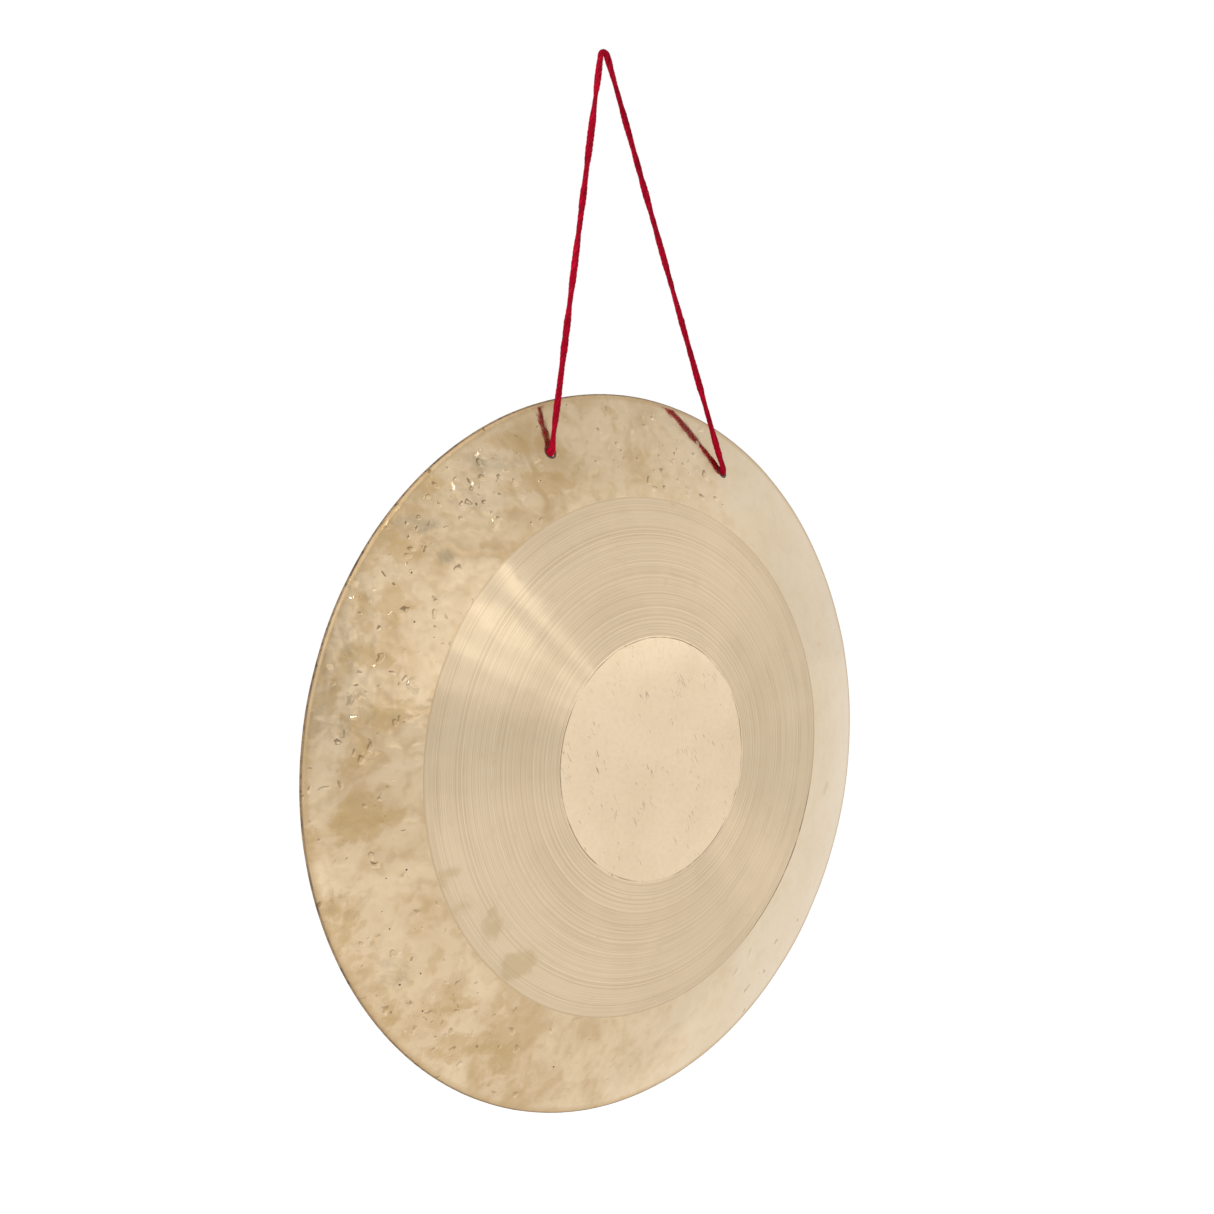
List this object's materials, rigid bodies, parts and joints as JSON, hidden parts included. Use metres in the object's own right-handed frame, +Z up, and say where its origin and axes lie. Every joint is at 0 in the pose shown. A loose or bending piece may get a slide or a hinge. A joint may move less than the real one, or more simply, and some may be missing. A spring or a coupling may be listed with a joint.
{
  "type": "wind gong",
  "caption": "Thin domed bronze gong plate with a polished centre, a lathed ring and a hammered rim, hung by one red cord through holes near its rim.",
  "frame": {"origin": "centre of the cord's top bend, where the hook that holds the gong passes", "axes": "+Z up, the struck face looks along -Y, +X to the right of somebody facing the gong"},
  "size_m": [0.4, 0.0484, 0.5859],
  "materials": {
    "bronze": "polished bronze, hammered at the rim and lathed in a ring",
    "red_cord": "soft twisted crimson cord"
  },
  "bodies": {
    "crown": {"cord_crown": "red_cord"},
    "strands": {"cord_strand_left": "red_cord", "cord_strand_right": "red_cord"},
    "plate": {"gong_plate": "bronze", "cord_end_left": "red_cord", "cord_end_right": "red_cord", "knot_left": "red_cord", "knot_right": "red_cord"}
  },
  "joints": [
    {"name": "hook_swing", "type": "hinge", "parent": "crown", "child": "strands", "pos_m": [0, 0, 0], "axis": [1, 0, 0], "range_deg": [-30, 30]},
    {"name": "plate_rock", "type": "hinge", "parent": "strands", "child": "plate", "pos_m": [0.01323, 0.00005, -0.22038], "axis": [0.9965, 0.004, -0.0836], "range_deg": [-35, 12]}
  ]
}
